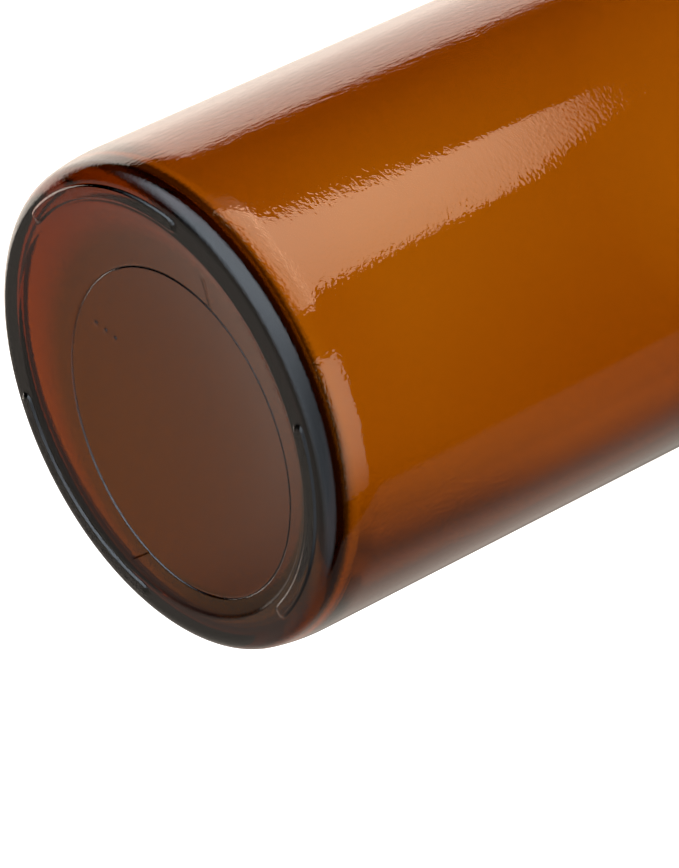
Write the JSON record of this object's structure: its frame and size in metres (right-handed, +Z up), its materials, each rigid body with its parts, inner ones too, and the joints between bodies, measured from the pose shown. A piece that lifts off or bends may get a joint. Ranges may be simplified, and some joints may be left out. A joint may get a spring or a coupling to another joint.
{
  "type": "growler",
  "caption": "Round amber glass growler with a domed base, rounded shoulder and narrow neck, closed by a wire-bail swing-top stopper on a clamped steel band.",
  "frame": {"origin": "centre of the base, on the plane of the three bearing ribs", "axes": "+Z up along the bottle; X along the closure's hinge lines; -Y the front, where the thumb lever hangs"},
  "size_m": [0.095, 0.095, 0.2545],
  "materials": {
    "amber_glass": "glossy, transparent brown",
    "band_steel": "brushed along the strap",
    "stud_steel": "turned, satin",
    "fastener_steel": "bright zinc",
    "wire_steel": "bright drawn wire",
    "stopper_ceramic": "glazed white",
    "gasket_rubber": "matt"
  },
  "bodies": {
    "bottle_body": {"bottle": "amber_glass", "neck_band": "band_steel", "pivot_studs": "stud_steel", "clamp_screw": "fastener_steel", "clamp_nut": "fastener_steel", "lock_washer": "fastener_steel"},
    "lever_body": {"lever": "wire_steel"},
    "bail_body": {"bail": "wire_steel"},
    "stopper_body": {"stopper": "stopper_ceramic", "gasket": "gasket_rubber"}
  },
  "joints": [
    {"name": "lever_swing", "type": "hinge", "parent": "bottle_body", "child": "lever_body", "pos_m": [0, 0, 0.221], "axis": [-1, 0, 0], "range_deg": [0, 150]},
    {"name": "bail_pivot", "type": "hinge", "parent": "lever_body", "child": "bail_body", "pos_m": [0, 0.0008, 0.209], "axis": [-1, 0, 0], "range_deg": [-103, 0]},
    {"name": "stopper_tilt", "type": "hinge", "parent": "bail_body", "child": "stopper_body", "pos_m": [0, 0, 0.2465], "axis": [-1, 0, 0], "range_deg": [-34, 0]}
  ],
  "couplings": [
    {"joint": "bail_pivot", "follows": "lever_swing", "ratio": -0.68},
    {"joint": "stopper_tilt", "follows": "lever_swing", "ratio": -0.22}
  ]
}
